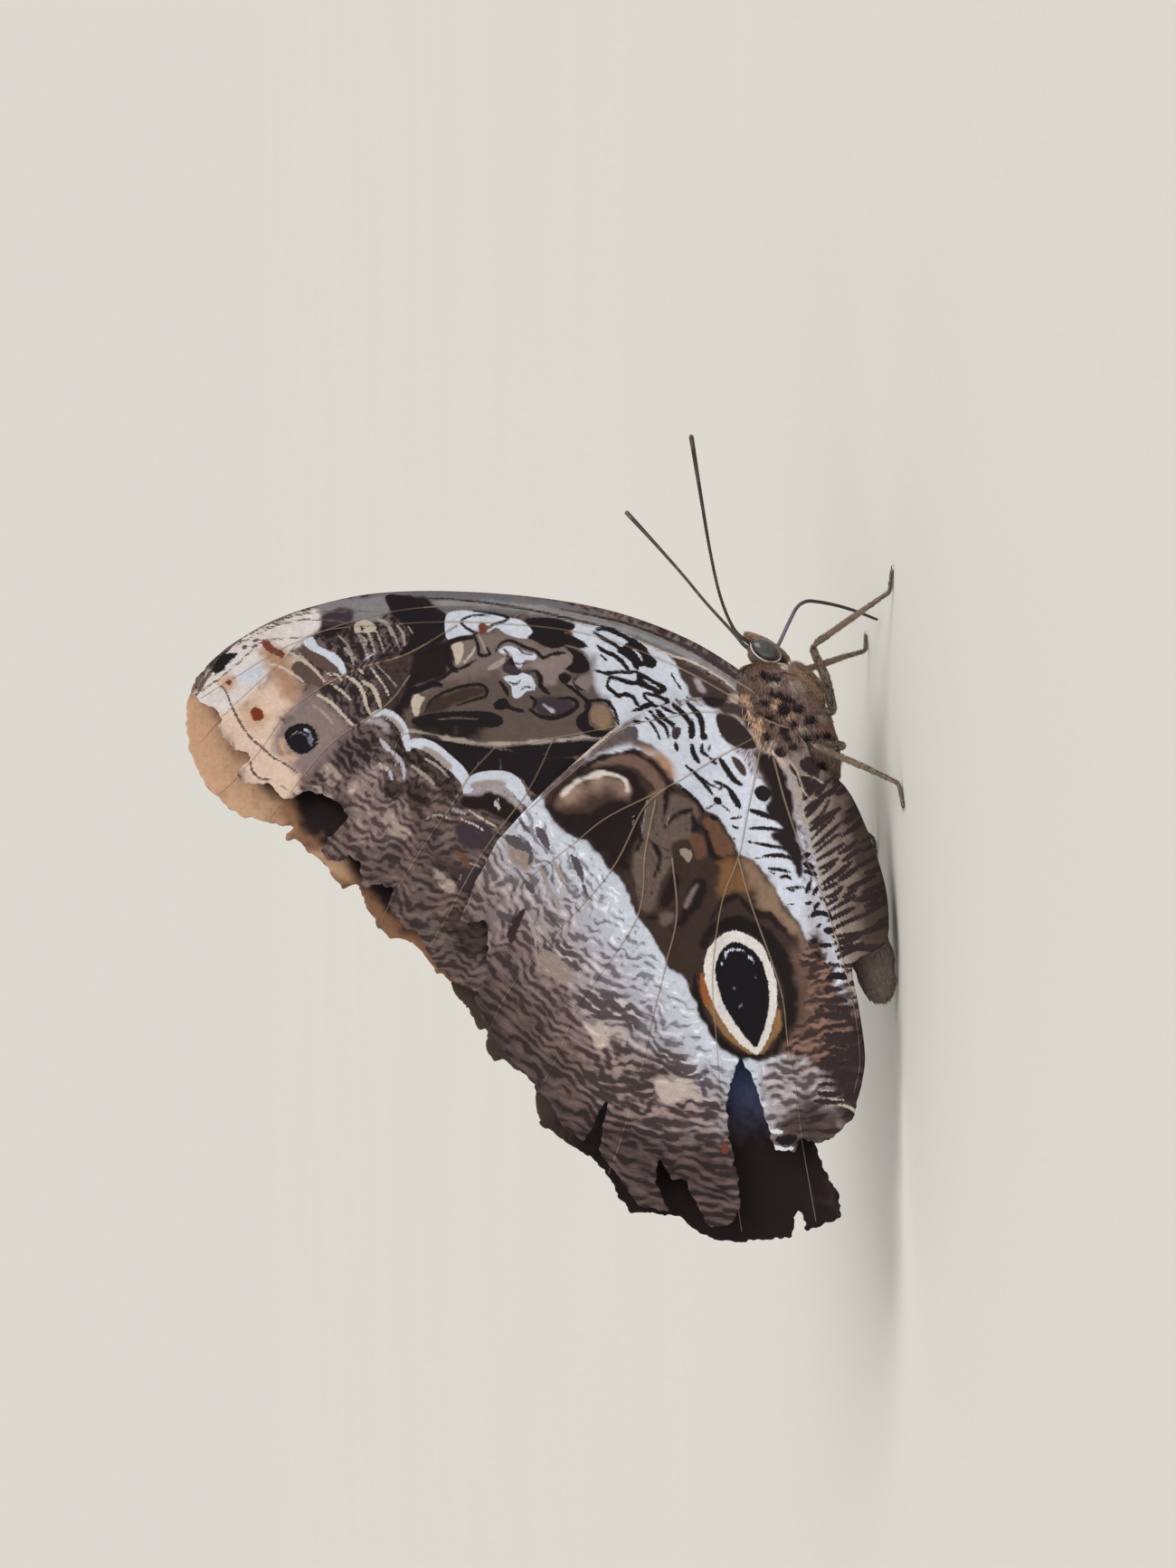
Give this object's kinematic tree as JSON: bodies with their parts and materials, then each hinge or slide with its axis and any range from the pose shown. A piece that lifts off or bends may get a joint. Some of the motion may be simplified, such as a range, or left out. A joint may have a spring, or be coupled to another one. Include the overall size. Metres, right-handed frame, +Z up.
{
  "type": "owl butterfly",
  "caption": "Life-size still model of an owl butterfly at rest with its worn wings closed upright over its back and its feelers spread forward.",
  "frame": {"origin": "on the floor, under the middle of the whole butterfly's box", "axes": "+X towards the head, +Z up towards the wing tips, +Y towards the butterfly's left"},
  "size_m": [0.1112, 0.0286, 0.0973],
  "materials": {
    "wing_scales": "thin scaled wing membrane, matt",
    "body_fur": "short brown insect fur",
    "limb_cuticle": "dark insect shell, slightly satin",
    "eye_lens": "olive compound eye, glossy"
  },
  "bodies": {
    "root": {"head": "body_fur", "eye_right": "eye_lens", "eye_left": "eye_lens", "antenna_right": "limb_cuticle", "antenna_left": "limb_cuticle", "palp_right": "body_fur", "palp_left": "body_fur", "proboscis": "limb_cuticle", "thorax": "body_fur", "abdomen": "body_fur", "foreleg_right": "body_fur", "foreleg_left": "body_fur", "midleg_right": "limb_cuticle", "midleg_left": "limb_cuticle", "hindleg_right": "limb_cuticle", "hindleg_left": "limb_cuticle", "forewing_right": "wing_scales", "forewing_left": "wing_scales", "hindwing_right": "wing_scales", "hindwing_left": "wing_scales"}
  },
  "joints": []
}
